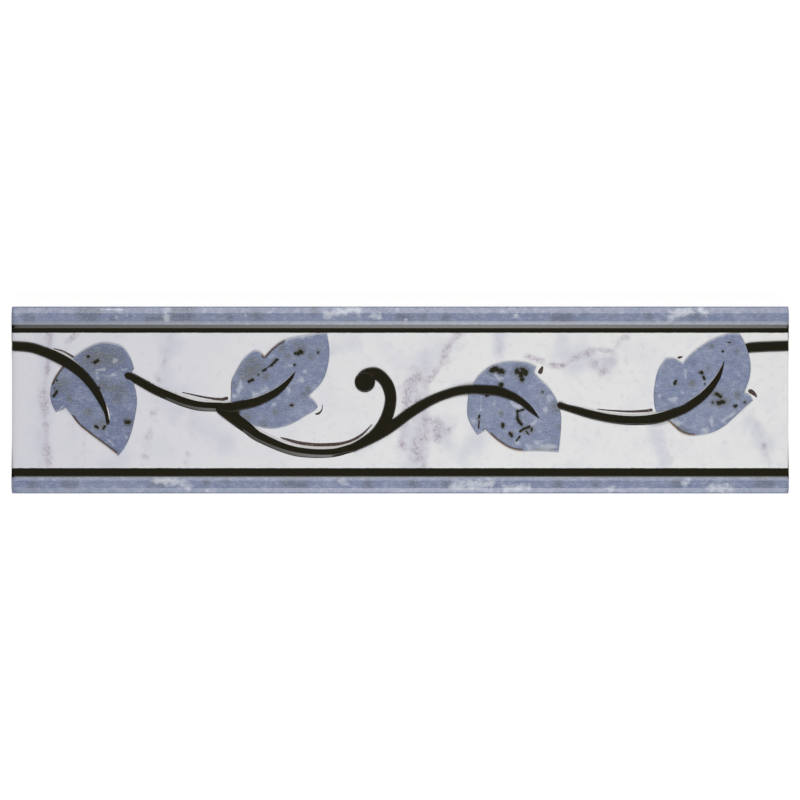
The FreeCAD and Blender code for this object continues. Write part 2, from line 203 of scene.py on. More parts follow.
END_LEAF = {
    "middle": (97.5, 4),
    "paleness": 1,
    "outline": [
        [(110.8, 18.7), (112, 15.5), (112.8, 11.3), (112.5, 7.4), (111.3, 3.7), (110.6, 2.3)],
        [(112.4, 1.6), (113.6, -0.1)],
        [(110.8, -2.5), (107.9, -5.2), (104.7, -8.1), (101, -10.2), (97.3, -11.1), (93.4, -11.4),
         (90.1, -10.3), (86.8, -7.4), (82.5, -3.7), (81.6, 0.7), (81.8, 4.4), (82.5, 8.1), (83.7, 11.1),
         (85.5, 13.5)],
        [(88, 13.4), (90.9, 11.8)],
        [(92.6, 14), (95.5, 16.5), (99.7, 19.2), (103.4, 20.7), (106.1, 21.4), (109.3, 21.4)],
    ],
    "ink": [
        (0.38, 88.2, 5.3, 88.6, 6.1), (0.6, 96.8, 8.9), (0.36, 97.5, 7.5, 97.7, 6.7), (0.28, 98, 5.2),
        (0.36, 103.8, 15.6), (0.2, 105.3, 18.5, 106, 18.5), (0.35, 110.8, -0.8), (0.5, 107.8, -2),
        (0.6, 102.3, -0.9, 103.9, -0.7), (0.35, 100.5, -0.8), (0.5, 101.6, 1.9, 102.9, 1.2),
    ],
    "ash": [
        (1.5, 100.2, 2.4, 103, 1.4), (1.5, 101.2, -0.6, 104.6, -0.4), (1.2, 108.5, 1.6), (0.6, 105.9, -0.2),
        (0.8, 110.8, -0.8), (1.3, 93.8, 5.4), (0.6, 94.4, 11.4), (0.9, 99.1, 10.3), (1, 106.8, 18.4),
        (0.9, 100.2, 17.4), (1, 108, 15.6), (0.8, 88, -8, 92, -10),
    ],
    "bloom": [
        (0.6, 91.6, 9.4, 91.9, 7.2), (0.8, 86.6, 0.4, 88.6, 0.4), (0.6, 90.7, 2.5),
        (1.1, 86.6, -6, 88.8, -7.8), (0.6, 100, -5.6, 100.3, -8.2), (1.2, 98.4, -9.6), (0.6, 83.4, 1.2),
        (0.6, 104, -6.4, 107.6, -4), (0.5, 106, 20), (0.5, 109, 8),
    ],
    "singed": [
        (86.6, -7.6, 88, -8.8, 90.1, -10.3, 93.6, -11.3),
    ],
}
LEAVES = {
    "drooping_leaf": DROOPING_LEAF,
    "rising_leaf": RISING_LEAF,
    "trailing_leaf": TRAILING_LEAF,
    "end_leaf": END_LEAF,
}

# Stem stations: place, printed width, how far the stem has climbed onto a leaf (0 on the field, 1 on the
# leaf, less than 0 where it runs in under one), and widths of the bare upper flank and of the lower flank.
# A station may leave out its last values, which then are those of STATION_REST.
STATION_REST = (0, 0.0, 0.3)
STEMS = {
    "entering_stem": [
        (-125, 17.4, 3.2), (-119, 16.9, 3.3), (-114.7, 15.6, 3.3), (-110.7, 13.9, 3.5, 0, 0.3),
        (-106.4, 11.6, 3.5, 0.8, 0.25), (-101.9, 8.1, 3.2, 1), (-98.4, 3.9, 2.9, 1), (-95.9, -0.6, 2.2, 1),
        (-94.5, -4.2, 1.4, 1, 0.5), (-93.9, -7.2, 1.35, 1, 0.05), (-93.7, -7.9, 0.95, 1, 0, 0.2),
    ],
    "rising_stem": [
        (-88.5, 8.3, 2.5, 1), (-85.8, 7.1, 2.7, 0.2), (-82.6, 5.3, 2.9), (-78.6, 3.1, 2.9, 0, 0.2),
        (-74.5, 1.3, 3, 0, 0.4, 0.85), (-69.5, -0.7, 3.1, 0, 0.8, 1), (-64.3, -2, 3.1, 0, 0.8, 1.1),
        (-58.5, -2.3, 3, 0, 0.7, 0.9), (-55.2, -2.4, 3.1, 0.4, 0.3), (-52.1, -1.9, 3.2, 1),
        (-46.3, -0.7, 3, 1, 0.2), (-41.7, 1.3, 2.7, 1, 0.2), (-38.9, 3.1, 2.3, 1, 0.2),
        (-36.5, 5.3, 1.7, 1, 0.2), (-34.6, 7.5, 1.1, 1, 0.2), (-33.6, 9.2, 0.4, 1, 0, 0.2),
    ],
    "curling_stem": [
        (-58.4, -1.9, 3.4), (-56.9, -3, 4.3), (-52.4, -6.4, 4.3, 0, 0, 0.4), (-49, -9.1, 3.8, 0, 0.3, 0.9),
        (-46.2, -11.4, 3.4, 0, 0.7, 1), (-41.6, -13.7, 3.2, 0, 0.7, 1), (-37.2, -15.5, 3.1, 0, 0.8, 1.1),
        (-32.7, -16.7, 3.1, 0, 0.8, 1.2), (-26.9, -17.2, 2.9, 0, 0.7, 1), (-21.5, -17, 2.8, 0, 0.7, 0.8),
        (-17.6, -16.1, 2.7, 0, 0.6, 0.6), (-14, -14.8, 2.8, 0, 0.5), (-9.5, -12, 3.1, 0, 0.1),
        (-6.3, -8.9, 3.6), (-4, -4.8, 3.9), (-3, 0, 3.8), (-3.6, 3.8, 4), (-5.3, 6.7, 3.9),
        (-7.7, 8.4, 4.1), (-10.3, 8.2, 4.2), (-12.1, 7.5, 3.4), (-13.1, 6, 2.6),
    ],
    "falling_stem": [
        (-15.4, -15.5, 2.9), (-9.6, -12.6, 3.4), (-4.7, -9.9, 3.5), (-0.6, -7, 3.5), (2.7, -4.5, 3.5),
        (6.8, -1.9, 3.4), (10.5, 0.1, 3.2), (14.5, 1.7, 3.1), (18.7, 2.9, 3.1, 0.2), (23.2, 3.4, 3.1, 0.9),
        (27.7, 3.2, 3.3, 1), (31.2, 2.9, 3.4, 1), (34.1, 2, 3.1, 1), (37.1, 0.7, 2.7, 1),
        (39.7, -1, 2.3, 1), (41.9, -3, 2, 1), (43.6, -4.7, 1.2, 1), (44.8, -5.9, 0.5, 1, 0, 0.2),
    ],
    "trailing_stem": [
        (50.5, -1.4, 2.2, 1), (53.4, -2.4, 2.3), (56.9, -3.4, 2.6), (61.1, -4.6, 2.8, 0, 0.2),
        (65, -5.5, 2.8, 0, 0.5), (69.2, -6.2, 2.9, 0, 0.6), (74, -6.6, 3, 0, 0.7, 0.5),
        (78.8, -6.5, 3.1, 0, 0.7, 0.5), (83, -5.9, 3.3, 0.8, 0.3), (87, -4.6, 3.2, 1, 0.1),
        (91.2, -3, 2.9, 1), (94.7, -0.8, 2.9, 1, 0.15), (97.4, 1.3, 2.7, 1, 0.2), (99.7, 3.7, 2.4, 1, 0.2),
        (101.6, 6.3, 2, 1, 0.2), (103, 8.9, 1.4, 1, 0.15), (104.2, 12.5, 0.5, 1, 0, 0.2),
    ],
    "leaving_stem": [
        (109.4, 16.2, 3.2, -1.2), (112.4, 16.8, 3.3), (114.5, 17, 3.4), (119, 17.2, 3.4), (125, 17.4, 3.4),
    ],
}

# Stems that start with a round end, and the boss that ends the curl.
BLUNT_STARTS = ("rising_stem", "trailing_stem")
CURL_MIDDLE, CURL_WIDTH = (-11.3, 5.8), 6.7

# Black strokes beside the relief, where the print sits a little higher than the pressing: place and width.
STROKES = {
    "entering_stroke": [
        (-111.5, 16.6, 0.3), (-108.6, 15.8, 0.45), (-106.8, 14.9, 0.55), (-104.2, 13.3, 0.8),
    ],
    "rising_stroke": [
        (-70.2, 2.5, 0.3), (-64.7, 1.25, 0.6), (-61.1, 0.6, 0.7), (-57.6, 0.2, 1), (-55.2, 0.7, 1.1),
    ],
    "curling_stroke": [
        (-38.6, -12, 0.3), (-36.4, -12.7, 0.8), (-32.2, -13.8, 1.05), (-27, -14.4, 1.1),
        (-21.6, -14.3, 1.1), (-17.9, -13.8, 1), (-15.1, -12.8, 0.9), (-12, -10.9, 0.7), (-8.9, -7.8, 0.3),
    ],
    "trailing_stroke": [
        (63.4, -2.9, 0.3), (68, -3.4, 0.5), (74, -3.7, 0.7), (79, -3.5, 0.9), (81.3, -3.1, 1),
    ],
    "rising_lobe_stroke": [(-27.3, -4.6, 0.6), (-26, -4.2, 0.7), (-25.1, -3, 0.35), (-25, -1.4, 0.25)],
    "trailing_lobe_stroke": [(44.7, 8.4, 1.2), (45.3, 9.4, 1.4), (45.9, 10.9, 0.5)],
    "end_notch_stroke": [(89.2, 13.6, 0.5), (90, 13.7, 0.8), (91, 14, 0.3)],
    "end_lobe_stroke": [(111.9, 3, 0.9), (112.9, 2.7, 1.5), (114, 1.9, 1.1), (114.8, 0.8, 0.4)],
}

# Veins of the white marble print: strength, half width and route, as in a mark.
VEINS = [
    (0.7, 1.1, -112.6, 21.6, -113, 12.9, -114.4, 3.2, -114.3, -3.2, -113.8, -12, -113.3, -20.9),
    (0.45, 1.4, -103.6, 21.6, -106.8, 19, -109.4, 16.1), (0.3, 1.4, -106.2, -4, -104.4, -14.5),
    (0.4, 1.5, -72.6, 21.6, -76, 12.1, -77.8, 6.4, -79.1, -4.4, -81, -12.1, -82.4, -21),
    (0.35, 1.2, -66.9, 0, -67.9, -12.9, -68.6, -21.6), (0.3, 1.4, -101.3, -12.9, -101.9, -20),
    (0.6, 1.3, 20.1, 21.7, 16.6, 19, 14.5, 14.5, 11.3, 8.8, 7.6, 5),
    (0.75, 1.6, 6.4, 8, 3.4, 5.6, 2.4, -1.6, 1.2, -8, 0.4, -15.5), (0.6, 2, 5.6, 6.4, 9, 3.2),
    (0.75, 1.5, 7, -2, 8.4, -10.9, 5.2, -15.3, 6, -17.7, 7.6, -20.9), (0.55, 1.8, 8, -4, 12.4, -12),
    (0.5, 1.6, 12, -7, 15.3, -9.7), (0.45, 3.5, 13, -10), (0.5, 4.5, 6, 7, 6, -6, 5, -18),
    (0.5, 1.2, 31.4, 21.6, 32.6, 13.4),
    (0.65, 0.8, 40.2, 14.5, 45, 12.9, 47.4, 11.6, 52.3, 11.2, 55.5, 13.3, 59.5, 14.5, 61.9, 16.5,
     68.3, 15.7, 70.8, 19.3, 72.4, 20.4),
    (0.75, 2.2, 61.1, 13.7, 63.5, 10, 65.5, 9.8, 68.3, 12.9),
    (0.4, 0.5, 71.6, 13.7, 74.4, 8.8, 77.6, 4, 78.4, 1.6),
    (0.35, 1.2, 82.8, -8.1, 85.2, -12.9, 87.6, -21.6),
    (0.4, 1.2, 111.4, -2.4, 114.6, -6.8, 116.6, -12.9, 119.2, -21.6), (0.7, 0.8, 117.2, -14, 117.8, -16),
]

# Where the veins break up into a net of fine lines and purple-brown specks: reach and route.
NETS = [
    (1.1, -112.6, 21.4, -112.9, 19.6), (0.7, -113, 12.9, -113.4, 9), (1.2, -114.5, 3.6, -114.3, -3.6),
    (1.4, -113.5, -15.4, -113.3, -20), (0.8, -113.9, -8), (0.8, -106, 19.4, -104.4, 21), (0.8, -77.8, 6.4),
    (0.8, -79.1, -4.4), (0.8, -81, -12.1), (0.5, -76, 12.1), (0.6, -82, -18.5), (0.8, -68.2, -17.7),
    (0.6, -102.1, -16.9), (0.9, 20.1, 21.7, 17.3, 20.1), (1.1, 15, 16.6, 14.1, 12.4),
    (0.8, 11.6, 9.4, 9.6, 6.4), (1.8, 5.6, 7.6, 3.6, 5.6, 2.4, 1.6, 2.2, -2.4), (0.8, 6, 0.4, 5, -1.6),
    (1, 7.6, -7.2), (1.6, 8.4, -10.9, 5.4, -14.6, 5.8, -18.2), (0.9, 7.6, -20.9), (1, 0.5, -14.5),
    (1.4, 10.4, -7, 12, -12), (1.1, 13.6, -8.6, 15.3, -9.7), (0.8, 41, 14.2, 46, 12.4),
    (0.8, 48.6, 11.3, 52.3, 11.2), (0.9, 55.2, 13.2, 59.5, 14.5, 61.9, 16.5), (0.7, 65, 16.2, 68.3, 15.7),
    (0.8, 65.6, 9.8, 65, 8.6), (0.9, 63, 12), (0.9, 70.8, 19.3, 72.4, 20), (0.8, 117.4, -14.9),
]

# Wide lavender-grey clouds of the white marble print: reach and route.
CLOUDS = [
    (5, -73, 21, -75.5, 8, -72, -4), (6, -66, -8, -56, -13), (7, 14, 18, 8, 6, 4, -8, 4, -20),
    (5, 12, -8, 16, -14), (3, 31.8, 21, 31.8, 15), (6, 50, 14, 66, 12), (4, 52, 20), (3, 80, -6, 85, -20),
    (4, 114, -8, 118, -18), (4, -90, -20, -96, -21), (4, -114, 18, -114, -18), (5, -35, 14, -15, 18),
    (5, 20, -18, 24, -12),
]

# Light and dark drifts of the blue marble print on the rims: reach and route.
RIM_BLOOM = [
    (0.3, -96, 29.2, -89, 29), (1, -74.9, 28.8, -75, 26.4), (0.6, -91, 26.4), (0.5, -87.6, 27.2),
    (0.5, -49.6, 27.4), (1.2, -23.4, 27.4, -18, 28.4, -13, 29), (0.7, -9, 27, -6.4, 26.8), (0.7, -1, 29),
    (0.6, 2, 25.6), (0.7, 37.4, 27.2), (1.3, 87, 26.6, 93.3, 28.6), (1, 96.5, 29, 98.4, 28),
    (1.3, -78, -25.8, -71, -26.4, -68, -28.4), (0.6, -62, -29), (0.8, -19, -26, -17, -27),
    (1.3, 17.4, -27.6, 29, -27.2), (1.1, 34.1, -28.6, 41.2, -28), (1.1, 67.5, -28.8), (1.2, 92, -26.5),
    (1.2, 99.7, -28, 106.2, -28.4),
]
RIM_ASH = [
    (1.2, -120, 26.2, -118, 26.2), (1.8, -102.6, 28.6, -97.6, 28.8), (1.3, -102, 26.6, -98, 26.4),
    (0.8, -92.6, 26, -91.6, 26), (1.2, -81, 26.2, -76, 26.2), (1.9, -73.4, 26.8, -67.6, 26.6),
    (1.2, -72.8, 29, -66.8, 29), (1.2, -54.4, 26.4), (2, -46, 27.4), (1.6, -27.4, 28.8),
    (1.3, 0, 26.8, 3, 26.4), (1.2, 7.4, 26.8), (1.4, 14.7, 26.6), (1.8, 50, 26.4, 54, 26.4),
    (1.6, 80, 26.8), (1.6, 95, 26.4), (1.8, -118, -27), (1.6, -107.4, -27, -105, -27),
    (1.3, -78.6, -26.8, -76, -27), (1.3, -62, -26.6), (0.8, -56, -26), (1.5, -37, -26.6, -31, -27),
    (1.5, -10.2, -27), (1.5, 4.2, -26.8), (1.5, 15.2, -26.8), (1.6, 50.7, -27), (1.4, 63, -27),
    (1.8, 88.9, -26.8), (1.6, 115, -26.6, 119, -26.6),
]


def linear(colour):
    """An sRGB hex value as linear red, green and blue."""
    channels = np.array([int(colour[i:i + 2], 16) for i in (1, 3, 5)]) / 255.0
    return tuple(np.where(channels <= 0.04045, channels / 12.92, ((channels + 0.055) / 1.055) ** 2.4))


class TileSizes(PropertyGroup):
    """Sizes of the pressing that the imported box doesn't give."""

    field_level: FloatProperty(
        name="Field level", description="Thickness at the field", default=7.0 * MM, unit="LENGTH")
    rim_rise: FloatProperty(
        name="Rim rise", description="Height of the rims above the field", default=0.92 * MM, unit="LENGTH")
    leaf_rise: FloatProperty(
        name="Leaf rise", description="Height of a leaf above the field", default=0.5 * MM, unit="LENGTH")
    vine_rise: FloatProperty(
        name="Vine rise", description="Height of the vine on its ground", default=0.5 * MM, unit="LENGTH")


class TileColours(PropertyGroup):
    """Colours under the glaze."""

    white: FloatVectorProperty(
        name="White marble", description="Ground of the field", subtype="COLOR", default=linear("#E3E3E3"))
    black: FloatVectorProperty(
        name="Black print", description="Vine and lines", subtype="COLOR", default=linear("#1B190C"))
    blue: FloatVectorProperty(
        name="Blue marble", description="Rims and leaves", subtype="COLOR", default=linear("#6F7893"))
    biscuit: FloatVectorProperty(
        name="Biscuit", description="Sides and back", subtype="COLOR", default=linear("#D9CDB8"))


def size_of(name):
    """One of the scene's tile sizes in millimetres."""
    return getattr(bpy.context.scene.tile_sizes, name) / MM


def smooth_lesser(a, b, softness):
    """The lesser of two values, rounded over by a parabola where they differ by less than softness."""
    share = np.clip(0.5 + (b - a) / (2 * softness), 0, 1)
    return b * (1 - share) + a * share - softness * share * (1 - share)


def quarter_round(distance, run, drop):
    """How far a surface has dropped at a distance from its edge, along a quarter of an ellipse."""
    inside = np.clip(1 - distance / run, 0, 1)
    return drop * (1 - np.sqrt(1 - inside**2))


def end_drop(x):
    """How far the face drops towards the tile's ends: a long round at the left, a short one at the right."""
    return quarter_round(x + HALF_LENGTH, *LEFT_ROUND) + quarter_round(HALF_LENGTH - x, *RIGHT_ROUND)


def smooth_route(points, step):
    """Evenly spaced points on a smooth curve through the given ones: a cubic for each stretch, whose
    direction at each point is that from the point before it to the point after it."""
    given = np.asarray(points, float)
    padded = np.vstack([2 * given[0] - given[1], given, 2 * given[-1] - given[-2]])
    along = np.linspace(0, len(given) - 1, 40 * (len(given) - 1) + 1)
    first = np.minimum(along.astype(int), len(given) - 2)
    u = (along - first)[:, None]
    a, b, c, d = (padded[first + k] for k in range(4))
    curve = b + (c - a) / 2 * u + (a - 2.5 * b + 2 * c - d / 2) * u**2 + (1.5 * (b - c) + (d - a) / 2) * u**3
    run = np.concatenate([[0], np.cumsum(np.hypot(*np.diff(curve[:, :2], axis=0).T))])
    even = np.linspace(0, run[-1], max(3, round(run[-1] / step) + 1))
    return np.stack([np.interp(even, run, column) for column in curve.T], axis=1)


def upward_of(place):
    """The direction square to a route at each of its points, a unit long, to the left of the way it runs."""
    heading = np.gradient(place, axis=0)
    heading /= np.hypot(*heading.T)[:, None]
    return np.stack([-heading[:, 1], heading[:, 0]], axis=1)


def distance_to(places, route):
    """Distance of each place from a smooth route, or from its one place, given as X, Y, X, Y and so on."""
    points = np.reshape(route, (-1, 2))
    if len(points) == 1:
        return np.hypot(*(places - points[0]).T)
    line = smooth_route(points, 0.4)
    start, step = line[:-1], np.diff(line, axis=0)
    across = places[:, None] - start
    share = np.clip((across * step).sum(2) / (step**2).sum(1), 0, 1)
    return np.hypot(*np.moveaxis(across - share[..., None] * step, 2, 0)).min(1)


def reach(places, marks):
    """One in the middle of the nearest mark, nought at its edge, falling on outside."""
    return np.max([1 - distance_to(places, route) / width for width, *route in marks], axis=0)


def skin_rings(name, rings, attributes=None):
    """A closed skin over rings of points in millimetres: four-sided faces between neighbouring rings and a
    fan to the middle of the first and the last ring. Attributes are given for the rings' points."""
    rows, columns, _ = rings.shape
    index = np.arange(rows * columns).reshape(rows, columns)
    ahead = np.roll(index, -1, axis=1)
    quads = np.stack([index[:-1], index[1:], ahead[1:], ahead[:-1]], axis=-1).reshape(-1, 4)
    first_pole, last_pole = rows * columns, rows * columns + 1
    first_fan = np.stack([np.full(columns, first_pole), index[0], ahead[0]], axis=-1)
    last_fan = np.stack([np.full(columns, last_pole), ahead[-1], index[-1]], axis=-1)
    points = np.vstack([rings.reshape(-1, 3), rings[0].mean(0), rings[-1].mean(0)])
    triangles = np.vstack([quads[:, :3], quads[:, [0, 2, 3]], first_fan, last_fan])
    corners = points[triangles]
    volume = np.einsum("ij,ij->i", corners[:, 0], np.cross(corners[:, 1], corners[:, 2])).sum() / 6
    if volume < 0:
        quads, first_fan, last_fan = quads[:, ::-1], first_fan[:, ::-1], last_fan[:, ::-1]
    mesh = bpy.data.meshes.new(name)
    mesh.from_pydata((points * MM).tolist(), [], quads.tolist() + first_fan.tolist() + last_fan.tolist())
    mesh.shade_smooth()
    for key, values in (attributes or {}).items():
        poles = [values[0].mean(), values[-1].mean()]
        layer = mesh.attributes.new(key, "FLOAT", "POINT")
        layer.data.foreach_set("value", np.concatenate([values.ravel(), poles]).astype(np.float32))
    piece = bpy.data.objects.new(name, mesh)
    bpy.context.scene.collection.objects.link(piece)
    return piece


def keep(piece, material):
    """Gives a piece its material and its place in the frame."""
    piece.data.materials.append(material)
    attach(piece, "root")
    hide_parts(NODE)


def add(tree, kind, inputs=None, **settings):
    """Adds one node with its settings and its inputs, values or other nodes' outputs. Gives its outputs."""
    node = tree.nodes.new(kind)
    for key, value in settings.items():
        setattr(node, key, value)
    for key, value in (inputs or {}).items():
        if isinstance(value, bpy.types.NodeSocket):
            tree.links.new(value, node.inputs[key])
        else:
            node.inputs[key].default_value = value
    return node.outputs


def new_material(name):
    """An empty material, and the place in millimetres, which is the object's own coordinates times 1000."""
    material = bpy.data.materials.new(name)
    material.use_nodes = True
    tree = material.node_tree
    tree.nodes.clear()
    place = add(tree, "ShaderNodeTexCoord")["Object"]
    scaled = add(tree, "ShaderNodeVectorMath", {0: place, "Scale": 1 / MM}, operation="SCALE")
    return material, tree, scaled[0]


def grain(tree, place, size, detail=2.0, stretch=(1, 1, 1)):
    """Noise from about -1 to 1 whose features are about this many millimetres across."""
    turned = add(tree, "ShaderNodeMapping", {"Vector": place, "Scale": tuple(s / size for s in stretch)})
    noise = add(tree, "ShaderNodeTexNoise", {"Vector": turned[0], "Scale": 1.0, "Detail": detail})
    level = {0: noise["Fac"], 1: 4.0, 2: -2.0}
    return add(tree, "ShaderNodeMath", level, operation="MULTIPLY_ADD")[0]


def ragged(tree, mark, noise, amount):
    """A mark with its outline broken up by noise: the piece's attribute of this name, or a value."""
    if isinstance(mark, str):
        mark = add(tree, "ShaderNodeAttribute", attribute_name=mark)["Fac"]
    return add(tree, "ShaderNodeMath", {0: noise, 1: amount, 2: mark}, operation="MULTIPLY_ADD")[0]


def rgba(colour):
    """An sRGB hex value or a linear colour with full alpha. Another node's colour is passed on as it is."""
    if isinstance(colour, bpy.types.NodeSocket):
        return colour
    return (*(linear(colour) if isinstance(colour, str) else colour), 1.0)


def layered(tree, ground, *layers):
    """A ground colour with colours laid over it in turn. A layer is its colour, its share and any number of
    limits: a value, and the levels between which the layer fades in from nothing to that share."""
    result = rgba(ground)
    for colour, share, *limits in layers:
        for value, low, high in limits:
            levels = {"Value": value, "From Min": low, "From Max": high, "To Max": share}
            share = add(tree, "ShaderNodeMapRange", levels, interpolation_type="SMOOTHSTEP")[0]
        sockets = {0: share, 6: result, 7: rgba(colour)}
        result = add(tree, "ShaderNodeMix", sockets, data_type="RGBA")[2]
    return result


def blue_marble(tree, place, ash_colour, bloom_share):
    """Colour of the blue marble print: slate blue in drifts 5 mm across, smoke and mottle 4 and 2 mm across,
    marks of ash and bloom, and grain and streaks along the tile from the printing screen."""
    drift = grain(tree, place, 5.5, detail=4.0, stretch=(0.7, 1.0, 1.0))
    smoke = grain(tree, place, 3.6, detail=5.0)
    mottle = grain(tree, place, 1.6, detail=5.0, stretch=(0.8, 1.0, 1.0))
    # A screen's dots are about 0.15 mm apart, half a pixel here, so they are drawn three times as coarse.
    streak = grain(tree, place, 0.4, stretch=(0.2, 1.0, 1.0))
    screen = grain(tree, place, 0.5, detail=1.0)
    return layered(
        tree, bpy.context.scene.tile_colours.blue,
        ("#919AB3", 0.5, (ragged(tree, "pale", drift, 0.1), 0.0, 1.0)),
        ("#6E79A0", 0.4, (drift, 0.0, 0.9)),
        ("#9DA5BC", 0.35, (drift, 0.0, -0.9)),
        ("#767A86", 0.4, (smoke, 0.1, 0.9)),
        ("#A8AFC4", 0.4, (mottle, 0.0, 0.9)),
        ("#666F8A", 0.4, (mottle, 0.0, -0.9)),
        (ash_colour, 0.7, (ragged(tree, "ash", mottle, 0.8), -0.7, 1.1)),
        ("#BCC2D2", 0.25, (streak, 0.0, 1.2)),
        ("#59627C", 0.25, (streak, 0.0, -1.2)),
        ("#D2D5DC", bloom_share, (ragged(tree, "bloom", mottle, 0.9), -0.7, 1.2)),
        ("#BFC5D4", 0.24, (screen, 0.0, 1.1)),
        ("#5A637C", 0.24, (screen, 0.0, -1.1)),
    )


def white_marble(tree, place):
    """Colour of the white marble print: off-white with lavender clouds 9 mm across, and painted shade that
    makes it darker and a little bluer towards the left end, where less light falls. Its veins are grey-mauve
    smudges with purple-brown specks of 1 mm in them and a net of lines 2 mm apart, which lie where a noise
    passes nought."""
    drift = grain(tree, place, 9.0, detail=4.0)
    mottle = grain(tree, place, 2.4, detail=4.0)
    crack = grain(tree, place, 2.0, detail=5.0)
    crack = add(tree, "ShaderNodeMath", {0: crack}, operation="ABSOLUTE")[0]
    speck = grain(tree, place, 1.2, detail=3.0, stretch=(1.3, 0.8, 1.0))
    net = ragged(tree, "net", mottle, 0.6)
    return layered(
        tree, bpy.context.scene.tile_colours.white,
        ("#D0D1DC", 0.35, (drift, -0.3, 1.0)),
        # Painted shade: the white darker and bluer towards the left end, where less light falls.
        ("#CBCBD6", 0.6, (ragged(tree, "painted_left_shade", drift, 0.05), 0.0, 1.0)),
        ("#C2C4D1", 0.5, (ragged(tree, "cloud", drift, 0.6), -0.1, 1.2)),
        ("#CDCED6", 0.22, (mottle, 0.0, 1.0)),
        ("#B5ACBA", 0.45, (ragged(tree, "vein", mottle, 0.4), 0.05, 1.0)),
        ("#B3A8B4", 0.22, (net, -1.5, 0.8)),
        ("#8D7E8D", 0.45, (net, -0.8, 0.6), (crack, 0.2, 0.0)),
        ("#6F5560", 0.5, (net, -0.2, 0.9), (speck, 0.25, 0.9)),
        ("#B2B2BA", 0.06, (grain(tree, place, 0.6), 0.0, 1.1)),
    )


def finish_glaze(tree, colour, others=None):
    """Clear glossy glaze over the colour: smooth, so that it mirrors soft lights as even bands. Others are
    inputs that differ from place to place."""
    inputs = {"Base Color": colour, "Roughness": GLAZE_ROUGHNESS, "IOR": 1.5, **(others or {})}
    shader = add(tree, "ShaderNodeBsdfPrincipled", inputs)
    add(tree, "ShaderNodeOutputMaterial", {"Surface": shader[0]})


def glazed_slab():
    """Pressed clay, printed and glazed on its face: blue marble rims, black lines and a white marble field
    under a clear gloss, and bare pitted biscuit below the glaze's wavy lower edge. The blue is thin and grey
    on the upper rim's slope and thick on the lower rim's bevel."""
    material, tree, place = new_material("glazed_slab")
    colours = bpy.context.scene.tile_colours
    axes = add(tree, "ShaderNodeSeparateXYZ", {0: place})
    y = ragged(tree, axes["Y"], grain(tree, place, 1.5), 0.05)
    soft = LINE_SOFTNESS
    slope_top = HALF_WIDTH - UPPER_RIM[0] - UPPER_RIM[1]
    bevel_top = LOWER_RIM[0] - HALF_WIDTH
    blue = blue_marble(tree, place, "#646872", 0.7)
    face = layered(
        tree, colours.black,
        (white_marble(tree, place), 1.0, (y, UPPER_LINE[0] + soft, UPPER_LINE[0] - soft),
         (y, LOWER_LINE[1] - soft, LOWER_LINE[1] + soft)),
        (blue, 1.0, (y, UPPER_LINE[1] - soft, UPPER_LINE[1] + soft)),
        (blue, 1.0, (y, LOWER_LINE[0] + soft, LOWER_LINE[0] - soft)),
        ("#737575", 0.45, (y, UPPER_LINE[1], UPPER_LINE[1] + 0.2), (y, slope_top + 0.1, slope_top - 0.3)),
        ("#5F6880", 0.27, (y, bevel_top + 0.15, bevel_top - 0.25)),
    )
    height = ragged(tree, axes["Z"], grain(tree, place, 7.0), 0.5)
    bare, covered = size_of("field_level") - BARE_BELOW, size_of("field_level") - COVERED_TO
    glaze_edge = {"Value": height, "From Min": bare, "From Max": covered}
    # The pores are under 0.2 mm, finer than a pixel, so they are drawn as blotches and pits of 0.8 mm.
    pores = grain(tree, place, 0.8, detail=4.0)
    biscuit = layered(tree, colours.biscuit, ("#BCAE97", 0.4, (pores, 0.2, 1.2)))
    colour = layered(tree, biscuit, (face, 1.0, (height, bare, covered)))
    uncovered = add(tree, "ShaderNodeMapRange", {**glaze_edge, "To Min": 1.0, "To Max": 0.0})[0]
    pits = add(tree, "ShaderNodeMath", {0: pores, 1: uncovered}, operation="MULTIPLY")[0]
    relief = add(tree, "ShaderNodeBump", {"Height": pits, "Strength": 0.5, "Distance": 0.04 * MM})
    rough = add(tree, "ShaderNodeMapRange", {**glaze_edge, "To Min": 0.85, "To Max": GLAZE_ROUGHNESS})
    finish_glaze(tree, colour, {"Roughness": rough[0], "Normal": relief[0]})
    return material


def glazed_leaf():
    """Blue marble print on the raised leaves: spots and cracks of black ink with edges broken up by a grain
    of 1 mm, a brown line where the ink pooled against the edge, a pale rim where it missed, and painted
    shade in a darker blue-grey band inside the edges that face down."""
    material, tree, place = new_material("glazed_leaf")
    speck = grain(tree, place, 0.9, detail=3.0)
    ink = ragged(tree, "ink", speck, 0.6)
    singed = ragged(tree, "singed", speck, 0.35)
    rim = ragged(tree, "rim", speck, 0.1)
    upward = ragged(tree, "upward", speck, 0.1)
    colour = layered(
        tree, blue_marble(tree, place, "#63645E", 0.45),
        ("#CFD2DB", 0.5, (rim, 0.6, 0.1), (upward, 0.0, 0.8)),
        # Painted shade: a darker band inside the edges that face down.
        ("#6A6E80", 0.3, (rim, 0.45, 0.05), (upward, 0.3, -0.3)),
        ("#54554F", 0.5, (ink, -1.7, 0.1)),
        ("#272518", 1.0, (ink, -0.5, 0.35)),
        ("#41382E", 0.85, (singed, -0.2, 0.3), (rim, 1.0, 0.6)),
        ("#AB8058", 0.9, (singed, -0.3, 0.2), (rim, 0.32, 0.14), (speck, -0.7, 0.0)),
    )
    finish_glaze(tree, colour)
    return material


def glazed_vine():
    """Thick black print on the raised vine: near black with a brown cast in patches of 2.5 mm, and the white
    ground bare along the flank that the print missed."""
    material, tree, place = new_material("glazed_vine")
    cast = grain(tree, place, 2.5, detail=3.0)
    printed = ragged(tree, "printed", grain(tree, place, 0.6, detail=1.0), 0.03)
    black = layered(tree, bpy.context.scene.tile_colours.black, ("#37291F", 0.5, (cast, 0.2, 1.4)))
    finish_glaze(tree, layered(tree, "#DAD8D8", (black, 1.0, (printed, -0.05, 0.05))))
    return material


